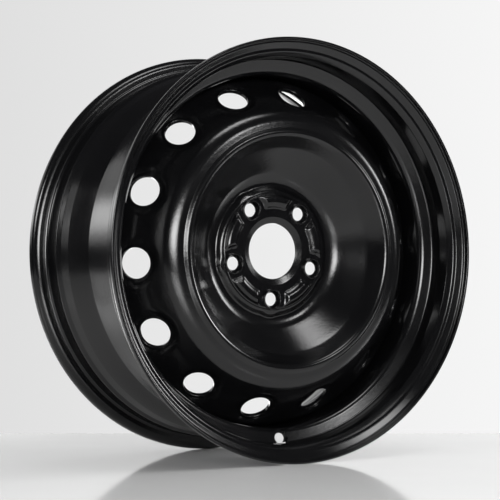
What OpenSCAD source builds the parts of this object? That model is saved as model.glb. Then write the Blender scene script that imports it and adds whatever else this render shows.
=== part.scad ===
// Pressed steel road wheel: a rolled rim and a pressed disc, joined by weld runs.
// Sections are drawn as radius and outboard height, and turned so that the axle lies along Y.

/* [Rim size] */
// Diameter of the bead seats at the flanges
rim_d = 457.2; // [430:0.1:485]
// Width between the two flange faces
rim_w = 190.5; // [176:0.5:206]
// Thickness of the rim strip
rim_t = 3; // [2.4:0.1:3.6]

/* [Rim flanges] */
// Height of the flange above the bead seat
flange_h = 17.3; // [16.2:0.1:19]
// Bend radius of the flange's curl, on the tyre side
curl_bend = 9.5; // [8:0.5:10]
// Width of the curl, from the flange face to its cut edge
lip_w = 13; // [11:0.5:15]
// Bend radius between the flange and the bead seat, on the tyre side
root_bend = 5; // [4:0.5:6]

/* [Rim barrel] */
// Width of each bead seat
seat_w = 18; // [15:0.5:21]
// Slope of the bead seats, in degrees
seat_slope = 5; // [4:0.5:6]
// Width of the safety hump beside each bead seat
hump_w = 12; // [10:0.5:14]
// Height of the safety hump above the end of the bead seat
hump_h = 1.6; // [1:0.1:2.4]
// Width of the rear ledge beside the hump
ledge_w = 13.6; // [11:0.2:16]
// Drop of the rear ledge below the bead seat, at the hump
ledge_drop = 3.6; // [2.5:0.1:5]
// Fall of the rear ledge across its width
ledge_fall = 3; // [2:0.1:4]
// Depth of the well below the bead seat
well_depth = 17.6; // [15:0.2:20]
// Width of the long slope from the rear ledge into the well
slope_w = 32.4; // [26:0.2:38]
// Width of the flat front hump, up to the well's front wall
front_hump_w = 17.8; // [15:0.2:22]
// Width of the steep front wall of the well
wall_w = 5; // [3:0.5:8]

/* [Valve] */
// Diameter of the valve hole
valve_d = 11.5; // [8:0.1:13]
// Place of the valve hole around the wheel, in degrees
valve_angle = 270; // [0:1:360]

/* [Disc] */
// Thickness of the disc sheet
disc_t = 4.5; // [3.6:0.1:5]
// Outboard height of the wheel's mounting face, from the middle of the rim
offset_h = 36; // [28:0.5:44]
// Width of the ring around the bolt pad that bears on the axle
bearing_w = 14.4; // [12:0.2:18]
// Height of the bolt pad above the bearing ring
pad_h = 5; // [4:0.5:6]
// Width of the bolt pad outside the bolt circle
pad_w = 14.45; // [14:0.05:17]
// Height of the stiffening ribs above the bolt pad
rib_h = 4; // [3:0.2:5]
// Width of the stiffening ribs, at their top
rib_w = 10; // [9:0.2:11]
// Distance of the ribs' middle outside the bolt circle
rib_shift = 2.85; // [2:0.05:3.5]
// Height of the ridge above the mounting face
ridge_h = 50; // [46:0.5:54]
// Width of the shoulder, from the ridge to the cone
shoulder_w = 21.45; // [18:0.05:25]
// Drop of the shoulder below the ridge
shoulder_drop = 4; // [2:0.5:6]
// Width of the vented cone, from the shoulder to the skirt
cone_w = 50; // [46:0.5:54]
// Drop of the skirt's corner below the ridge
skirt_drop = 60; // [56:0.5:64]
// Straight length of the skirt that sits in the well
skirt_w = 24; // [20:0.5:28]
// Radial gap between the skirt and the well
skirt_gap = 0.05; // [0:0.01:0.2]

/* [Bolt circle] */
// Diameter of the centre bore
bore_d = 66.1; // [54:0.1:70]
// Number of bolt holes
bolt_n = 5; // [4:1:6]
// Diameter of the bolt circle
bolt_pcd = 114.3; // [108:0.1:120]
// Diameter of the bolt holes
bolt_d = 15.5; // [12:0.1:17]
// Depth of the conical nut seats
nut_seat = 5; // [3:0.5:6]
// Diameter of the raised collar around each nut seat
collar_d = 25; // [24.5:0.1:27]
// Height of the collars above the bolt pad
collar_h = 2.5; // [1.5:0.1:3.5]
// Place of the first bolt hole, in degrees
bolt_angle = 123.3; // [0:0.1:360]

/* [Vents] */
// Number of vent holes
vent_n = 14; // [10:1:15]
// Diameter of the vent holes
vent_d = 35.2; // [26:0.2:38]
// Place of the vent holes across the cone, from its shoulder to the skirt
vent_place = 0.55; // [0.5:0.01:0.6]
// Diameter of the flat pressed around each vent hole
flat_d = 42; // [39:0.5:46]
// Depth of that flat
flat_h = 3.5; // [2:0.1:4.5]
// Place of the first vent hole, in degrees
vent_angle = 184.9; // [0:0.1:360]

/* [Welds] */
// Number of weld runs between disc and rim
weld_n = 7; // [4:1:9]
// Leg of the weld bead
weld_leg = 4; // [3:0.1:4.4]
// Length of each weld run, in degrees
weld_span = 30; // [20:1:36]

/* [Hidden] */
$fn = 128;
PAINT = "#1b1c1e";
SEAM = "#202124";
BEND_STEP = 9;

half_w = rim_w / 2;
seat_r = rim_d / 2;
crest_r = seat_r + flange_h;
seat_end_r = seat_r - seat_w * tan(seat_slope);
hump_r = seat_end_r + hump_h;
well_r = seat_r - well_depth;
well_in = well_r - rim_t;
hump_bend = 6;
ledge_bend = 4;
slope_bend = 8;
wall_bend = 6;
wall_foot = half_w - seat_w - front_hump_w - wall_w;
valve_r = (well_r + hump_r) / 2;
wall_lean = atan(wall_w / (hump_r - well_r));

bearing_h = offset_h + disc_t;
pad_top = bearing_h + pad_h;
rib_top = pad_top + rib_h;
ledge_h = pad_top - 0.15 * rib_h;
ridge_top = offset_h + ridge_h;
shoulder_h = ridge_top - shoulder_drop;
skirt_r = well_in - skirt_gap;
skirt_h = ridge_top - skirt_drop;
skirt_end = skirt_h - skirt_w;
shoulder_r = skirt_r - cone_w;
ridge_r = shoulder_r - shoulder_w;
bolt_r = bolt_pcd / 2;
pad_r = bolt_r + pad_w;
pad_run = pad_h * 1.1;
bearing_r = pad_r + bearing_w;
rib_in = bolt_r + rib_shift - rib_w / 2;
rib_out = rib_in + rib_w;
rib_run = rib_h * 0.65;
tight_bend = disc_t + 1;
rib_bend = 2 * disc_t;
soft_bend = 3;
foot_bend = 2;
bowl_bend = 24;
valley_w = 9;
valley_drop = 2.8;
bowl_rise = [0.2, 0.58];
bowl_reach = [0.34, 0.74];
bore_bevel = [7.5, 2.2];
cone_lean = atan((shoulder_h - skirt_h) / cone_w);
vent_r = shoulder_r + vent_place * cone_w;
vent_h = shoulder_h - (vent_r - shoulder_r) * tan(cone_lean) - flat_h / cos(cone_lean);
nut_cone = 30;
flat_slope = 30;
pocket_d = 2 * collar_d - bolt_d + 2;
pocket_drop = 0.1 * rib_h;
lobe_r = collar_d / 2 + 5;

// Rim section on the tyre side, from the rear lip to the front lip: radius, height and bend radius
RIM_PATH = [
    [crest_r, -half_w - lip_w, 0],
    [crest_r, -half_w, curl_bend],
    [seat_r, -half_w, root_bend],
    [seat_end_r, -half_w + seat_w, hump_bend],
    [hump_r, -half_w + seat_w + hump_w / 2, hump_bend],
    [seat_r - ledge_drop, -half_w + seat_w + hump_w, ledge_bend],
    [seat_r - ledge_drop - ledge_fall, -half_w + seat_w + hump_w + ledge_w, slope_bend],
    [well_r, -half_w + seat_w + hump_w + ledge_w + slope_w, slope_bend],
    [well_r, wall_foot, wall_bend],
    [hump_r, wall_foot + wall_w, wall_bend],
    [hump_r, half_w - seat_w - hump_w / 2, hump_bend],
    [seat_end_r, half_w - seat_w, hump_bend],
    [seat_r, half_w, root_bend],
    [crest_r, half_w, curl_bend],
    [crest_r, half_w + lip_w, 0]
];

// Front of the disc from the axis to the end of the skirt; reach lengthens the skirt
function disc_path(reach) = [
    [0, pad_top, 0],
    [rib_in - rib_h, pad_top, soft_bend],
    [rib_in, rib_top, rib_bend],
    [rib_out, rib_top, tight_bend],
    [rib_out + rib_run, ledge_h, foot_bend],
    [pad_r, ledge_h, tight_bend],
    [pad_r + pad_run, bearing_h, soft_bend],
    [bearing_r, bearing_h, bowl_bend / 2],
    for (i = [0:1]) [
        bearing_r + (ridge_r - bearing_r) * bowl_reach[i],
        bearing_h + (ridge_top - bearing_h) * bowl_rise[i],
        bowl_bend
    ],
    [ridge_r, ridge_top, tight_bend],
    [ridge_r + valley_w, ridge_top - valley_drop, soft_bend],
    [shoulder_r, shoulder_h, bowl_bend],
    [skirt_r, skirt_h, bowl_bend],
    [skirt_r, skirt_end - reach, 0]
];

function unit(v) = v / norm(v);
function left(v) = [-v.y, v.x];
function place(path, i) = [path[i][0], path[i][1]];
function heading(path, i) = unit(place(path, i + 1) - place(path, i));

// A path moved sideways by a distance to its left, with its bends kept concentric
function shifted(path, distance) = [
    for (i = [0:len(path) - 1])
        let (before = heading(path, max(i - 1, 0)))
        let (after = heading(path, min(i, len(path) - 2)))
        let (move = (left(before) + left(after)) * distance / (1 + before * after))
        let (bend = path[i][2] - distance * sign(cross(before, after)))
        [path[i][0] + move.x, path[i][1] + move.y, path[i][2] > 0 ? bend : 0]
];

// Points of one rounded corner
function corner(path, i) =
    let (before = heading(path, i - 1))
    let (after = heading(path, i))
    let (turn = atan2(cross(before, after), before * after))
    let (bend = path[i][2])
    let (start = place(path, i) - before * bend * tan(abs(turn) / 2))
    let (arm = left(before) * bend * sign(turn))
    let (steps = max(1, ceil(abs(turn) / BEND_STEP)))
    [
        for (k = [0:steps])
            let (a = turn * k / steps)
            start + arm - [arm.x * cos(a) - arm.y * sin(a), arm.x * sin(a) + arm.y * cos(a)]
    ];

// A path's points with its corners rounded
function rounded(path) = [
    for (i = [0:len(path) - 1])
        each path[i][2] > 0 ? corner(path, i) : [place(path, i)]
];

function reversed(list) = [for (i = [len(list) - 1:-1:0]) list[i]];

module on_axle() {
    rotate([90, 0, 0])
        children();
}

module around(count, angle) {
    for (k = [0:count - 1])
        rotate(angle - k * 360 / count)
            children();
}

module at_bolts() {
    around(bolt_n, bolt_angle)
        translate([bolt_r, 0, 0])
            children();
}

module at_vents() {
    around(vent_n, vent_angle)
        translate([vent_r, 0, vent_h])
            rotate([0, cone_lean, 0])
                children();
}

module rim() {
    color(PAINT)
        on_axle()
            difference() {
                rotate_extrude()
                    polygon(concat(rounded(RIM_PATH), reversed(rounded(shifted(RIM_PATH, rim_t)))));
                valve_hole();
            }
}

module valve_hole() {
    rotate(valve_angle)
        translate([valve_r, 0, wall_foot + wall_w / 2])
            rotate([0, -wall_lean, 0])
                cylinder(d = valve_d, h = 4 * rim_t, center = true);
}

module disc() {
    color(PAINT)
        on_axle()
            difference() {
                union() {
                    difference() {
                        pressing(0);
                        pressing(disc_t);
                    }
                    nut_collars();
                }
                centre_bore();
                bolt_holes();
                vent_holes();
            }
}

// Solid behind the disc's front surface, moved back by the inset
module pressing(inset) {
    difference() {
        union() {
            rotate_extrude()
                polygon(concat(rounded(shifted(disc_path(inset), -inset)), [[0, skirt_end - inset]]));
            pad_lobes(inset);
        }
        nut_pockets(inset);
        vent_flats(inset);
    }
}

// Round lobes that widen the bolt pad at each bolt
module pad_lobes(inset) {
    shrink = inset * tan(atan(pad_h / pad_run) / 2);
    low = lobe_r + 1.2 * pad_run - shrink;
    at_bolts()
        translate([0, 0, bearing_h - 0.2 * pad_h - inset])
            cylinder(r1 = low, r2 = low - 1.16 * pad_run, h = 1.16 * pad_h);
}

// Round pockets that part the raised ring into ribs and clear the nuts
module nut_pockets(inset) {
    grow = inset * tan(45 / 2);
    at_bolts()
        translate([0, 0, pad_top - pocket_drop - inset])
            cylinder(d1 = pocket_d + 2 * grow, d2 = pocket_d + 2 * grow + 4 * rib_h, h = 2 * rib_h);
}

// Shallow round dishes that give each vent a flat place
module vent_flats(inset) {
    low = flat_d + 2 * inset * tan(flat_slope / 2);
    rise = 2 * flat_h;
    at_vents()
        translate([0, 0, -inset])
            cylinder(d1 = low, d2 = low + 2 * rise / tan(flat_slope), h = rise);
}

module nut_collars() {
    at_bolts()
        translate([0, 0, pad_top - disc_t / 2])
            cylinder(d = collar_d, h = disc_t / 2 + collar_h);
}

module centre_bore() {
    translate([0, 0, offset_h])
        cylinder(d = bore_d, h = 2 * rib_top);
    translate([0, 0, pad_top - bore_bevel.y])
        cylinder(r1 = bore_d / 2, r2 = bore_d / 2 + 1.2 * bore_bevel.x, h = 1.2 * bore_bevel.y);
}

module bolt_holes() {
    seat_top = pad_top + collar_h;
    at_bolts() {
        translate([0, 0, offset_h])
            cylinder(d = bolt_d, h = 2 * rib_top);
        translate([0, 0, seat_top - nut_seat])
            cylinder(r1 = bolt_d / 2, r2 = bolt_d / 2 + 2 * nut_seat * tan(nut_cone), h = 2 * nut_seat);
    }
}

module vent_holes() {
    at_vents()
        cylinder(d = vent_d, h = 6 * disc_t, center = true);
}

module weld_runs() {
    color(SEAM)
        on_axle()
            around(weld_n, vent_angle)
                rotate(-weld_span / 2)
                    rotate_extrude(angle = weld_span)
                        translate([well_in, skirt_end])
                            intersection() {
                                circle(weld_leg);
                                translate([-2 * weld_leg, -2 * weld_leg])
                                    square(2 * weld_leg);
                            }
}

rim();
disc();
weld_runs();
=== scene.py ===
"""Pressed steel road wheel in gloss black paint, standing on a pale glossy table."""

import math

import bmesh
import bpy
from mathutils import Matrix, Vector


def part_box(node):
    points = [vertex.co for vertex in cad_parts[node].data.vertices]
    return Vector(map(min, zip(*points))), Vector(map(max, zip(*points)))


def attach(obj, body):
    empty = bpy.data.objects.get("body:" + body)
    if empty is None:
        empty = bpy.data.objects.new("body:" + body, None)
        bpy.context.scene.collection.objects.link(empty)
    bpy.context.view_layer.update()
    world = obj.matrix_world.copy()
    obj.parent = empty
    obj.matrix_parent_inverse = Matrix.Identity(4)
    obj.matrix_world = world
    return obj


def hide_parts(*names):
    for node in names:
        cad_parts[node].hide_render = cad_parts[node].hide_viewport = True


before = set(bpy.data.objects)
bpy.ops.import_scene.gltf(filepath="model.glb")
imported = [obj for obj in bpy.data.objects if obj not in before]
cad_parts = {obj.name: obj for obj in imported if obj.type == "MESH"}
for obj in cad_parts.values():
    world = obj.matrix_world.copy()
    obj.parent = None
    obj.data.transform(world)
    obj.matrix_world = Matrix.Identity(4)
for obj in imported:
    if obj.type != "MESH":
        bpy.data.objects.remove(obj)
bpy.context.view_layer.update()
scene = bpy.context.scene

# Sections are drawn in millimetres, as radius and outboard height, and end up in metres
MM = 0.001
rim_low, rim_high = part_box("rim")
disc_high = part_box("disc")[1]

# Rim strip
RIM_T = 3.0
CREST_R = rim_high.x / MM
LIP_H = -rim_low.y / MM
FLANGE_CURL = 13.0
FLANGE_RISE = 17.3
FLANGE_BEND = 9.5
HALF_W = LIP_H - FLANGE_CURL
SEAT_R = CREST_R - FLANGE_RISE
SEAT_W = 18.0
SEAT_TAPER = math.radians(5)
SEAT_END_R = SEAT_R - SEAT_W * math.tan(SEAT_TAPER)
REAR_SEAT_END = -HALF_W + SEAT_W
FRONT_SEAT_END = HALF_W - SEAT_W
HUMP_R = SEAT_END_R + 1.6
HUMP_W = 6.0
LEDGE_R = SEAT_R - 3.6
WELL_R = SEAT_R - 17.6
WALL_H = FRONT_SEAT_END - 17.8
WALL_W = 5.0
LIP_ROUND = 0.9

# Disc sheet
DISC_T = 4.5
BEARING_H = 40.5
PAD_H = 5.0
PAD_TOP = BEARING_H + PAD_H
PAD_REAR = PAD_TOP - DISC_T
RIB_TOP = PAD_TOP + 4.0
LEDGE_H = PAD_TOP - 0.6
BOLT_R = 57.15
PAD_R = BOLT_R + 14.45
PAD_RUN = 5.5
BEARING_R = PAD_R + 14.4
RIB_IN = BOLT_R - 2.15
RIB_OUT = RIB_IN + 10.0
RIDGE_TOP = 86.0
SHOULDER_H = RIDGE_TOP - 4.0
SKIRT_R = disc_high.x / MM
SKIRT_H = 26.0
SKIRT_END = -disc_high.y / MM
CONE_W = 50.0
CONE_BEND = 24.0
SHOULDER_R = SKIRT_R - CONE_W
RIDGE_R = SHOULDER_R - 21.45
BORE_R = 33.05
BORE_FUNNEL_W = 7.5
BORE_FUNNEL_H = 2.2
CONE_LEAN = math.atan2(SHOULDER_H - SKIRT_H, CONE_W)

# Bolt holes, with their cone seats and collars, in pockets of the ribs and lobes of the pad
BOLT_COUNT = 5
BOLT_ANGLE = math.radians(123.3)
BOLT_HOLE_R = 7.75
SEAT_TOP_R = 10.64
SEAT_DEPTH = 5.0
COLLAR_R = 12.5
COLLAR_TOP = PAD_TOP + 2.5
COLLAR_EDGE = 0.3
COLLAR_LAP = 0.2
POCKET_R = 18.25
POCKET_RUN = 5.2
LOBE_R = 17.5
PAD_EASING = 1.2

# Vents, each in a flat pressed into the cone
VENT_COUNT = 14
VENT_ANGLE = math.radians(184.9)
VENT_HOLE_R = 17.6
VENT_R = SHOULDER_R + 0.55 * CONE_W
FLAT_R = 21.0
FLAT_H = 3.5
FLAT_EASING = 1.5
FLAT_REACH = 12.0
DISH_LEAN = math.radians(30)
DISH_EASING = 1.6
VENT_H = SHOULDER_H - (VENT_R - SHOULDER_R) * math.tan(CONE_LEAN) - FLAT_H / math.cos(CONE_LEAN)

# How far an edge's radius differs on the sheet's rear, for each millimetre of thickness
POCKET_SHIFT = 0.4
LOBE_SHIFT = 0.39
FLAT_SHIFT = 0.27

# Valve hole in the well's front wall
VALVE_HOLE_R = 5.75
VALVE_R = (WELL_R + HUMP_R) / 2
VALVE_H = WALL_H - WALL_W / 2
VALVE_LEAN = math.atan2(WALL_W, HUMP_R - WELL_R)
VALVE_ANGLE = math.radians(270)

# Weld runs on the brake side: ripples, tapered ends and a slow waver, as shares of the bead's radius
WELD_COUNT = 7
WELD_SPAN = math.radians(30)
WELD_ROUND = 3.0
WELD_SINK = 0.8
RIPPLE_LENGTH = 2.6
RIPPLE_SIZE = 0.07
END_LENGTH = 4.0
END_TAPER = 0.45
WAVER_LENGTH = 7.0
WAVER_SIZE = 0.05

# Punches: how far the mouth flares, and how high over the sheet's face the flare starts
PUNCH_FLARE = 4.0
MOUTH_H = 0.12

# Steps of a full turn, in multiples of sixteen, and of a bend and a bead
TURN_STEPS = 256
PUNCH_STEPS = 96
HOLE_STEPS = 64
BEND_STEP = math.radians(7)
BEAD_SIDES = 16
BEAD_STEPS = 160

# Longest runs between points of a section
RIM_SPACING = 14.0
COLLAR_SPACING = 3.0
PAD_SPACING = 1.35
BOWL_SPACING = 5.0
CONE_SPACING = 2.4
CONE_MARGIN = 8.0
REAR_COARSER = 3


# Sections: radius, outboard height and bend radius of each corner

RIM_SECTION = [
    (CREST_R, -LIP_H, LIP_ROUND),
    (CREST_R, -HALF_W, FLANGE_BEND),
    (SEAT_R, -HALF_W, 4),
    (SEAT_END_R, REAR_SEAT_END, 4),
    (HUMP_R, REAR_SEAT_END + HUMP_W, 4),
    (LEDGE_R, REAR_SEAT_END + 12, 3),
    (LEDGE_R - 3, REAR_SEAT_END + 25.6, 6),
    (WELL_R, REAR_SEAT_END + 58, 6),
    (WELL_R, WALL_H - WALL_W, 6),
    (HUMP_R, WALL_H, 6),
    (HUMP_R, FRONT_SEAT_END - HUMP_W, 6),
    (SEAT_END_R, FRONT_SEAT_END, 6),
    (SEAT_R, HALF_W, 5),
    (CREST_R, HALF_W, FLANGE_BEND),
    (CREST_R, LIP_H, LIP_ROUND),
]

# Street face of the front flange, where the rolls leave two steps with small bends
FLANGE_FACE = [
    (SEAT_R - 3.4, HALF_W - 4.8, 2.2),
    (SEAT_R + 1.4, HALF_W + 1.2, 2.0),
    (SEAT_R + 5.6, HALF_W + 1.8, 1.6),
    (SEAT_R + 11.0, HALF_W + 7.4, 2.0),
    (CREST_R - RIM_T, HALF_W + 8.0, 1.2),
]

# The first corner only gives the pad's direction; the bore takes its place
DISC_SECTION = [
    (RIB_IN - 14, PAD_TOP, 0),
    (RIB_IN - 4, PAD_TOP, 3),
    (RIB_IN, RIB_TOP, 9),
    (RIB_OUT, RIB_TOP, 5.5),
    (RIB_OUT + 2.6, LEDGE_H, 2),
    (PAD_R, LEDGE_H, 5.5),
    (PAD_R + PAD_RUN, BEARING_H, 3),
    (BEARING_R + 1, BEARING_H, 22),
    (RIDGE_R - 15, RIDGE_TOP - 17, 18),
    (RIDGE_R, RIDGE_TOP + 1.6, 6),
    (RIDGE_R + 7, RIDGE_TOP - 2.6, 3),
    (SHOULDER_R, SHOULDER_H, CONE_BEND),
    (SKIRT_R, SKIRT_H, CONE_BEND),
    (SKIRT_R, SKIRT_END, 0),
]


# Sheet metal

def shifted(corners, distance):
    """A section moved to the left of its run by a distance, its bends kept concentric."""
    places = [Vector((r, h)) for r, h, bend in corners]
    moved = []
    for i, (r, h, bend) in enumerate(corners):
        before = (places[max(i, 1)] - places[max(i, 1) - 1]).normalized()
        last = min(i, len(places) - 2)
        after = (places[last + 1] - places[last]).normalized()
        side = Vector((-before.y - after.y, before.x + after.x)) * distance / (1 + before.dot(after))
        if 0 < i < len(corners) - 1:
            bend -= math.copysign(distance, distance * before.cross(after))
        moved.append((r + side.x, h + side.y, bend))
    return moved


def drawn(corners, spacing=None, closed=False):
    """Wire of a section, its corners rounded by vertex bevels and its runs split to a spacing, if given."""
    bm = bmesh.new()
    verts = [bm.verts.new((r, -h, 0)) for r, h, bend in corners]
    for start, end in zip(verts, verts[1:] + verts[:1] * closed):
        bm.edges.new((start, end))
    bends = []
    for i, (r, h, bend) in enumerate(corners):
        if bend > 0 and (closed or 0 < i < len(corners) - 1):
            before = verts[i].co - verts[i - 1].co
            after = verts[(i + 1) % len(verts)].co - verts[i].co
            turn = before.angle(after)
            bends.append((verts[i], bend * math.tan(turn / 2), max(2, math.ceil(turn / BEND_STEP))))
    for vert, reach, segments in bends:
        bmesh.ops.bevel(bm, geom=[vert], offset=reach, offset_type="ABSOLUTE", segments=segments,
                        profile=0.5, affect="VERTICES", material=-1)
    if spacing:
        for edge in bm.edges[:]:
            middle_r = (edge.verts[0].co.x + edge.verts[1].co.x) / 2
            cuts = int(edge.calc_length() / spacing(middle_r))
            if cuts:
                bmesh.ops.subdivide_edges(bm, edges=[edge], cuts=cuts)
    return bm


def only_verts(geom):
    """The vertices among what an operator hands back."""
    return [part for part in geom if isinstance(part, bmesh.types.BMVert)]


def turned(bm, steps):
    """A section spun through a sixteenth of a turn, doubled four times right round the axle, and closed."""
    bmesh.ops.spin(bm, geom=bm.verts[:] + bm.edges[:], cent=(0, 0, 0), axis=(0, 1, 0),
                   angle=math.tau / 16, steps=steps // 16)
    for share in (16, 8, 4, 2):
        copy = bmesh.ops.duplicate(bm, geom=bm.verts[:] + bm.edges[:] + bm.faces[:])
        bmesh.ops.rotate(bm, verts=only_verts(copy["geom"]), cent=(0, 0, 0),
                         matrix=Matrix.Rotation(math.tau / share, 3, "Y"))
    bmesh.ops.remove_doubles(bm, verts=bm.verts, dist=0.001)
    bmesh.ops.recalc_face_normals(bm, faces=bm.faces)
    return bm


def around(angle):
    """Turns a shape that lies on the +X side to an angle round the axle."""
    return Matrix.Rotation(-angle, 4, "Y")


def join(bm, other):
    """Adds another bmesh's geometry to this one."""
    spare = bpy.data.meshes.new("spare")
    other.to_mesh(spare)
    other.free()
    bm.from_mesh(spare)
    bpy.data.meshes.remove(spare)


def new_object(name, bm):
    """Object of a finished bmesh, linked to the scene."""
    mesh = bpy.data.meshes.new(name)
    bm.to_mesh(mesh)
    bm.free()
    made = bpy.data.objects.new(name, mesh)
    scene.collection.objects.link(made)
    return made


def placed(name, bm):
    """Object of a bmesh drawn in millimetres, brought to metres."""
    bmesh.ops.transform(bm, matrix=Matrix.Scale(MM, 4), verts=bm.verts)
    return new_object(name, bm)


def punched(piece, punches):
    """Cuts the punches out of a piece and removes them."""
    cut = piece.modifiers.new("punch", "BOOLEAN")
    cut.object = punches
    cut.operation = "DIFFERENCE"
    cut.solver = "MANIFOLD"
    bpy.context.view_layer.update()
    graph = bpy.context.evaluated_depsgraph_get()
    blank = piece.data
    piece.data = bpy.data.meshes.new_from_object(piece.evaluated_get(graph))
    piece.modifiers.clear()
    piece.data.name = piece.name
    bpy.data.meshes.remove(blank)
    bpy.data.objects.remove(punches)


def finish_piece(piece, node, material, crease=32):
    """Shades a piece, gives it its paint, hangs it under the root body and hides the CAD node that it stands
    for.
    """
    piece.data.shade_smooth()
    piece.data.set_sharp_from_angle(angle=math.radians(crease))
    piece.data.materials.clear()
    piece.data.materials.append(material)
    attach(piece, "root")
    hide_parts(node)


def punch(radius, low, high, rounding):
    """A round punch along the axle, from low to high, whose mouth at height 0 leaves a rounded edge."""
    flare = radius + PUNCH_FLARE
    corners = [
        (0, low, 0),
        (radius, low, 0),
        (radius, MOUTH_H, rounding),
        (flare, MOUTH_H, 0),
        (flare, high, 0),
        (0, high, 0),
    ]
    return turned(drawn(corners), PUNCH_STEPS)


def eased_min(a, b, width):
    """The smaller of two values, blended over a width where they meet."""
    overlap = max(width - abs(a - b), 0) / width
    return min(a, b) - overlap * overlap * width / 4


def ramp(distance, width):
    """0 to 1 as a distance runs from 0 to a width, with soft ends."""
    t = min(max(distance / width, 0), 1)
    return t * t * (3 - 2 * t)


def nearest(count, first, angle):
    """Angle of the nearest of a ring of holes."""
    pitch = math.tau / count
    return first + round((angle - first) / pitch) * pitch


def pressed(point, inset):
    """Where the press moves a point of the plain turned sheet, on a face that lies an inset behind the front:
    bolt pockets, pad lobes and vent flats."""
    r = math.hypot(point.x, point.z)
    h = -point.y
    angle = math.atan2(point.z, point.x)
    if r < BEARING_R:
        bolt = nearest(BOLT_COUNT, BOLT_ANGLE, angle)
        off = math.hypot(point.x - BOLT_R * math.cos(bolt), point.z - BOLT_R * math.sin(bolt))
        pad = PAD_TOP - inset
        if h > pad:
            h = pad + (h - pad) * ramp(off - POCKET_R - POCKET_SHIFT * inset + PAD_EASING / 2, POCKET_RUN)
        fall = ramp(off - LOBE_R + LOBE_SHIFT * inset + PAD_EASING / 2, PAD_RUN + PAD_EASING)
        lobe = BEARING_H - inset - PAD_EASING + PAD_H * (1 - fall)
        h = -eased_min(-h, -lobe, PAD_EASING)
        return Vector((point.x, -h, point.z))
    if r > SHOULDER_R - FLAT_REACH and h > SKIRT_H - CONE_BEND:
        vent = nearest(VENT_COUNT, VENT_ANGLE, angle)
        out = Vector((math.cos(vent), 0, math.sin(vent)))
        centre = out * VENT_R - Vector((0, VENT_H, 0))
        normal = out * math.sin(CONE_LEAN) - Vector((0, math.cos(CONE_LEAN), 0))
        level = (point - centre).dot(normal)
        off = (point - centre - normal * level).length
        beyond = off - FLAT_R - FLAT_SHIFT * inset
        rise = max(beyond, 0)
        if abs(beyond) <= FLAT_EASING:
            rise = (beyond + FLAT_EASING) ** 2 / (4 * FLAT_EASING)
        dish = rise * math.tan(DISH_LEAN) - inset
        return point + normal * (eased_min(level, dish, DISH_EASING) - level)
    return point


def disc_spacing(r):
    """Spacing of the disc's section, finer where the press works: at the bolts and at the vents."""
    if r < BEARING_R:
        return PAD_SPACING
    if r < SHOULDER_R - CONE_MARGIN:
        return BOWL_SPACING
    return CONE_SPACING


def sheet(corners, inset, spacing):
    """One face of the pressed disc, front or rear."""
    bm = turned(drawn(corners, spacing), TURN_STEPS)
    for vert in bm.verts:
        vert.co = pressed(vert.co, inset)
    return bm


# Finishes

def linear(code):
    """Linear colour of an sRGB hex code."""
    parts = [int(code[i:i + 2], 16) / 255 for i in (1, 3, 5)]
    return [c / 12.92 if c <= 0.04045 else ((c + 0.055) / 1.055) ** 2.4 for c in parts] + [1]


def add_node(tree, kind, inputs, **settings):
    """Adds a node with its settings, and fills its inputs with values or links."""
    made = tree.nodes.new(kind)
    for name, value in settings.items():
        setattr(made, name, value)
    for name, value in inputs.items():
        if isinstance(value, bpy.types.NodeSocket):
            tree.links.new(value, made.inputs[name])
        else:
            made.inputs[name].default_value = value
    return made


def new_material(name):
    """A material without nodes, and its node tree."""
    material = bpy.data.materials.new(name)
    material.use_nodes = True
    material.node_tree.nodes.clear()
    return material, material.node_tree


def stoved_black_paint(name, peel, grain):
    """Gloss black wheel paint, sprayed over primer and stoved: a hard gloss, softened by orange peel, and by
    the sheet's grain, which breaks the highlights into a fine sparkle. Peel and grain are heights in mm."""
    material, tree = new_material(name)
    place = add_node(tree, "ShaderNodeTexCoord", {}).outputs["Object"]
    # Orange peel waves are about 6 mm long
    waves = add_node(tree, "ShaderNodeTexNoise", {"Vector": place, "Scale": 1 / (6 * MM), "Detail": 1.0})
    # The grain, under 1 mm on the sheet, is drawn at 2 mm so that it shows
    specks = add_node(tree, "ShaderNodeTexNoise", {"Vector": place, "Scale": 1 / (2 * MM), "Detail": 1.0})
    # Spray passes leave drier and wetter bands, some 60 mm wide
    passes = add_node(tree, "ShaderNodeTexNoise", {"Vector": place, "Scale": 1 / (60 * MM), "Detail": 2.0})
    gloss = add_node(tree, "ShaderNodeMapRange", {
        "Value": passes.outputs["Fac"], "From Min": 0.3, "From Max": 0.7, "To Min": 0.14, "To Max": 0.2})
    tone = add_node(tree, "ShaderNodeMix", {
        "Factor": passes.outputs["Fac"], "A": linear("#070708"), "B": linear("#0c0c0d")}, data_type="RGBA")
    coarse = add_node(tree, "ShaderNodeBump", {
        "Height": waves.outputs["Fac"], "Strength": 1.0, "Distance": peel * MM})
    fine = add_node(tree, "ShaderNodeBump", {
        "Height": specks.outputs["Fac"], "Strength": 1.0, "Distance": grain * MM,
        "Normal": coarse.outputs["Normal"]})
    shader = add_node(tree, "ShaderNodeBsdfPrincipled", {
        "Base Color": tone.outputs["Result"], "Roughness": gloss.outputs["Result"], "IOR": 1.5,
        "Normal": fine.outputs["Normal"]})
    add_node(tree, "ShaderNodeOutputMaterial", {"Surface": shader.outputs["BSDF"]})
    return material


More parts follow.
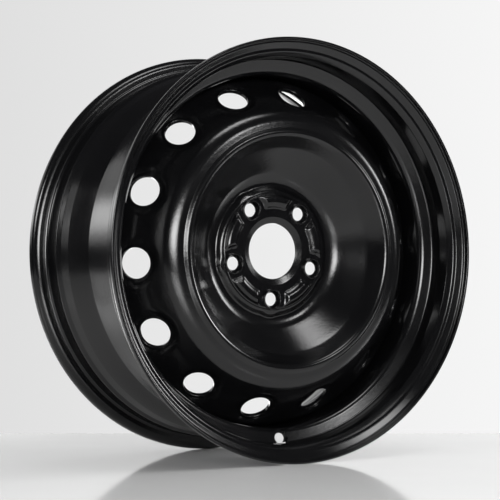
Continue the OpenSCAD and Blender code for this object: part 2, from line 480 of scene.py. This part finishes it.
def lacquered_table(name):
    """White lacquered board: an even white under a clear gloss, which mirrors what stands on it at a low
    angle."""
    material, tree = new_material(name)
    place = add_node(tree, "ShaderNodeTexCoord", {}).outputs["Object"]
    # Polishing marks, about 120 mm long and faint
    marks = add_node(tree, "ShaderNodeTexNoise", {"Vector": place, "Scale": 1 / (120 * MM), "Detail": 3.0})
    gloss = add_node(tree, "ShaderNodeMapRange", {
        "Value": marks.outputs["Fac"], "To Min": 0.03, "To Max": 0.12})
    shader = add_node(tree, "ShaderNodeBsdfPrincipled", {
        "Base Color": linear("#dedede"), "Roughness": gloss.outputs["Result"], "IOR": 1.33})
    add_node(tree, "ShaderNodeOutputMaterial", {"Surface": shader.outputs["BSDF"]})
    return material


rim_paint = stoved_black_paint("gloss_black_stoved_paint_on_rolled_strip", peel=0.04, grain=0.012)
disc_paint = stoved_black_paint("gloss_black_stoved_paint_on_pressed_sheet", peel=0.06, grain=0.055)
weld_paint = stoved_black_paint("gloss_black_stoved_paint_on_weld_bead", peel=0.06, grain=0.025)


# Rim

inner = shifted(RIM_SECTION, RIM_T)
outline = RIM_SECTION + (inner[:-3] + FLANGE_FACE + inner[-1:])[::-1]
rim = placed("rim_strip", turned(drawn(outline, lambda r: RIM_SPACING, closed=True), TURN_STEPS))

valve = punch(VALVE_HOLE_R, low=-12, high=8, rounding=0.7)
valve.transform(around(VALVE_ANGLE) @ Matrix.Translation((VALVE_R, -VALVE_H, 0))
                @ Matrix.Rotation(-VALVE_LEAN, 4, "Z"))
punched(rim, placed("valve_punch", valve))
finish_piece(rim, "rim", rim_paint)


# Disc

bore_edge = [
    (BORE_R, PAD_REAR, 0),
    (BORE_R, PAD_TOP - BORE_FUNNEL_H, 0.7),
    (BORE_R + BORE_FUNNEL_W, PAD_TOP, 2),
]
skirt_edge = [
    (SKIRT_R, SKIRT_END, 0.8),
    (SKIRT_R - DISC_T, SKIRT_END, 0),
]
front = bore_edge + DISC_SECTION[1:-1] + skirt_edge
rear = [(BORE_R, PAD_REAR, 0)] + shifted(DISC_SECTION, -DISC_T)[1:]
pressing = sheet(front, 0, disc_spacing)
join(pressing, sheet(rear, DISC_T, lambda r: REAR_COARSER * disc_spacing(r)))
bmesh.ops.remove_doubles(pressing, verts=[v for v in pressing.verts if v.is_boundary], dist=0.01)
bmesh.ops.recalc_face_normals(pressing, faces=pressing.faces)
disc = placed("pressed_disc", pressing)

HOLE_R = COLLAR_R - COLLAR_LAP
HOLE_SECTION = [
    (0, PAD_TOP - 12, 0),
    (HOLE_R, PAD_TOP - 12, 0),
    (HOLE_R, PAD_TOP + 9, 0),
    (0, PAD_TOP + 9, 0),
]
bolt_places = [around(BOLT_ANGLE - i * math.tau / BOLT_COUNT) @ Matrix.Translation((BOLT_R, 0, 0))
               for i in range(BOLT_COUNT)]
punches = bmesh.new()
for i in range(VENT_COUNT):
    vent = punch(VENT_HOLE_R, low=-14, high=8, rounding=0.9)
    vent.transform(around(VENT_ANGLE - i * math.tau / VENT_COUNT) @ Matrix.Translation((VENT_R, -VENT_H, 0))
                   @ Matrix.Rotation(CONE_LEAN, 4, "Z"))
    join(punches, vent)
for place in bolt_places:
    hole = turned(drawn(HOLE_SECTION), HOLE_STEPS)
    hole.transform(place)
    join(punches, hole)
punched(disc, placed("disc_punches", punches))
finish_piece(disc, "disc", disc_paint)

COLLAR_SECTION = [
    (BOLT_HOLE_R, PAD_REAR, 0.5),
    (BOLT_HOLE_R, COLLAR_TOP - SEAT_DEPTH, 0.4),
    (SEAT_TOP_R, COLLAR_TOP, 0.5),
    (COLLAR_R, COLLAR_TOP, 0.8),
    (COLLAR_R, PAD_REAR + COLLAR_EDGE, 0),
    (COLLAR_R - COLLAR_EDGE, PAD_REAR, 0),
]
collar_ring = bmesh.new()
for place in bolt_places:
    collar = turned(drawn(COLLAR_SECTION, lambda r: COLLAR_SPACING, closed=True), HOLE_STEPS)
    collar.transform(place)
    join(collar_ring, collar)
collars = placed("nut_seat_collars", collar_ring)
finish_piece(collars, "disc", disc_paint)


# Weld runs

well_in = WELL_R - RIM_T
run = WELD_SPAN * well_in
core = Vector((well_in - WELD_SINK, -SKIRT_END + WELD_SINK, 0))
bead_ring = bmesh.new()
for i in range(WELD_COUNT):
    bead = bmesh.new()
    bmesh.ops.create_circle(bead, segments=BEAD_SIDES, radius=WELD_ROUND)
    bmesh.ops.translate(bead, verts=bead.verts, vec=core)
    bmesh.ops.spin(bead, geom=bead.verts[:] + bead.edges[:], cent=(0, 0, 0), axis=(0, 1, 0),
                   angle=WELD_SPAN, steps=BEAD_STEPS)
    for vert in bead.verts:
        along = -math.atan2(vert.co.z, vert.co.x) * well_in
        middle = Matrix.Rotation(along / well_in, 4, "Y") @ core
        ripple = RIPPLE_SIZE * math.sin(math.tau * along / RIPPLE_LENGTH)
        taper = END_TAPER * (1 - ramp(min(along, run - along), END_LENGTH))
        waver = WAVER_SIZE * math.sin(along / WAVER_LENGTH)
        vert.co = middle + (vert.co - middle) * (1 + ripple - taper + waver)
    bmesh.ops.holes_fill(bead, edges=[e for e in bead.edges if e.is_boundary])
    bmesh.ops.recalc_face_normals(bead, faces=bead.faces)
    bead.transform(around(VENT_ANGLE - i * math.tau / WELD_COUNT + WELD_SPAN / 2))
    join(bead_ring, bead)
beads = placed("weld_beads", bead_ring)
finish_piece(beads, "weld_runs", weld_paint, crease=80)


# Table and studio, in metres, laid out along the camera's view

CAMERA_PLACE = Vector((-1.0203, -1.6427, -0.0434))
CAMERA_LOOK = Vector((0.52562, 0.85039, 0.02356))
CAMERA_UP = Vector((-0.0124, -0.0200, 0.9997))
FLOOR_Z = rim_low.x
TABLE_HALF_W = 1.6
TABLE_HALF_D = 0.9
TABLE_NEARER = 0.6
TABLE_T = 0.03
ahead = Vector((CAMERA_LOOK.x, CAMERA_LOOK.y, 0)).normalized()
aside = Vector((ahead.y, -ahead.x, 0))

top = bmesh.new()
bmesh.ops.create_grid(top, x_segments=1, y_segments=1, size=1)
for vert in top.verts:
    sideways = aside * vert.co.x * TABLE_HALF_W
    away = ahead * (vert.co.y * TABLE_HALF_D - TABLE_NEARER)
    vert.co = sideways + away + Vector((0, 0, FLOOR_Z))
slab = bmesh.ops.extrude_face_region(top, geom=top.faces[:])
bmesh.ops.translate(top, verts=only_verts(slab["geom"]), vec=(0, 0, -TABLE_T))
bmesh.ops.recalc_face_normals(top, faces=top.faces)
table = new_object("table_top", top)
table.data.materials.append(lacquered_table("white_lacquered_board"))

# Dark studio walls, which only gloss sees. They open to the pale backdrop behind the wheel, and a dark shelf
# crosses the left of that opening
STUDIO_R = 5.0
BACKDROP_SIDE = math.radians(122)
BACKDROP_TOP = math.radians(27)
SHELF_MID = -0.02
SHELF_HALF = 0.07


def bearing(point):
    """Azimuth of a point from the wheel's front, to the right, and its elevation."""
    return math.atan2(point.x, -point.y), math.asin(point.z / point.length)


walls = bmesh.new()
bmesh.ops.create_uvsphere(walls, u_segments=96, v_segments=60, radius=STUDIO_R)
opening = []
for face in walls.faces:
    azimuth, elevation = bearing(face.calc_center_median())
    shelf = azimuth < 0 and abs(elevation - SHELF_MID) < SHELF_HALF
    if abs(azimuth) > BACKDROP_SIDE and abs(elevation) < BACKDROP_TOP and not shelf:
        opening.append(face)
bmesh.ops.delete(walls, geom=opening, context="FACES")
studio = new_object("dark_studio", walls)
wall_paint, tree = new_material("dark_studio_wall")
shade = add_node(tree, "ShaderNodeEmission", {"Color": linear("#38383a"), "Strength": 1.0})
add_node(tree, "ShaderNodeOutputMaterial", {"Surface": shade.outputs["Emission"]})
studio.data.materials.append(wall_paint)
studio.visible_camera = False
studio.visible_diffuse = False
studio.visible_transmission = False
studio.visible_shadow = False


# Light

# The world is the pale backdrop to camera, gloss and glass, and a dimmer even light to all else
SKY_STRENGTH = 0.4
BACKDROP_LEFT = 0.74
BACKDROP_RIGHT = 0.92
BACKDROP_REACH = 0.16

world = bpy.data.worlds.new("studio")
scene.world = world
world.use_nodes = True
tree = world.node_tree
tree.nodes.clear()
rays = add_node(tree, "ShaderNodeLightPath", {})
seen = add_node(tree, "ShaderNodeMath", {
    0: rays.outputs["Is Camera Ray"], 1: rays.outputs["Is Glossy Ray"]}, operation="ADD")
seen = add_node(tree, "ShaderNodeMath", {
    0: seen.outputs[0], 1: rays.outputs["Is Transmission Ray"]}, operation="ADD", use_clamp=True)
# The backdrop is a little lighter on the right
way = add_node(tree, "ShaderNodeTexCoord", {}).outputs["Generated"]
across = add_node(tree, "ShaderNodeVectorMath", {0: way, 1: aside}, operation="DOT_PRODUCT")
tone = add_node(tree, "ShaderNodeMapRange", {
    "Value": across.outputs["Value"], "From Min": -BACKDROP_REACH, "From Max": BACKDROP_REACH,
    "To Min": BACKDROP_LEFT, "To Max": BACKDROP_RIGHT})
sky = add_node(tree, "ShaderNodeBackground", {"Color": linear("#ffffff"), "Strength": SKY_STRENGTH})
back = add_node(tree, "ShaderNodeBackground", {
    "Color": linear("#ffffff"), "Strength": tone.outputs["Result"]})
mixed = add_node(tree, "ShaderNodeMixShader", {0: seen.outputs[0], 1: sky.outputs[0], 2: back.outputs[0]})
add_node(tree, "ShaderNodeOutputWorld", {"Surface": mixed.outputs[0]})

BOX_DISTANCE = 3.5


def softbox(name, azimuth, elevation, wide, high, glow):
    """A soft box that faces the wheel, placed and sized in degrees, its glow brightest in the middle."""
    turn = Matrix.Rotation(math.radians(azimuth), 3, "Z") @ Matrix.Rotation(math.radians(-elevation), 3, "X")
    light = bpy.data.lights.new(name, "AREA")
    light.shape = "RECTANGLE"
    light.size = BOX_DISTANCE * math.radians(wide)
    light.size_y = BOX_DISTANCE * math.radians(high)
    # Power goes with the area, so the glow doesn't change with the box's size
    light.energy = math.pi * light.size * light.size_y
    light.use_nodes = True
    tree = light.node_tree
    tree.nodes.clear()
    across = add_node(tree, "ShaderNodeNewGeometry", {}).outputs["Parametric"]
    off = add_node(tree, "ShaderNodeVectorMath", {0: across, 1: (0.5, 0.5, 0)}, operation="DISTANCE")
    fade = add_node(tree, "ShaderNodeMapRange", {
        "Value": off.outputs["Value"], "From Min": 0.5, "From Max": 0.1, "To Min": 0.0, "To Max": glow},
        interpolation_type="SMOOTHSTEP")
    cloth = add_node(tree, "ShaderNodeEmission", {"Strength": fade.outputs["Result"]})
    add_node(tree, "ShaderNodeOutputLight", {"Surface": cloth.outputs["Emission"]})
    box = bpy.data.objects.new(name, light)
    box.location = turn @ Vector((0, -BOX_DISTANCE, 0))
    box.rotation_euler = box.location.to_track_quat("Z", "Y").to_euler()
    box.visible_camera = False
    scene.collection.objects.link(box)


softbox("overhead_box", 10, 65, 44, 20, 8.5)
softbox("left_back_box", -148, 12, 56, 16, 3)
softbox("camera_side_strip", -19, 7, 46, 26, 18)
softbox("front_right_box", 22, 24, 16, 12, 15)
softbox("right_box", 82, 16, 56, 34, 16)
softbox("left_box", -88, 20, 22, 28, 16)
softbox("brake_side_box", 172, -10, 84, 22, 6)


# Camera

camera = bpy.data.objects.new("camera", bpy.data.cameras.new("camera"))
camera.data.lens = 115.2
camera.data.sensor_width = 36
look = CAMERA_LOOK.normalized()
right = look.cross(CAMERA_UP).normalized()
turn = Matrix((right, right.cross(look), -look)).transposed()
camera.matrix_world = Matrix.Translation(CAMERA_PLACE) @ turn.to_4x4()
scene.collection.objects.link(camera)
scene.camera = camera
scene.view_settings.view_transform = "Standard"

bpy.context.view_layer.update()
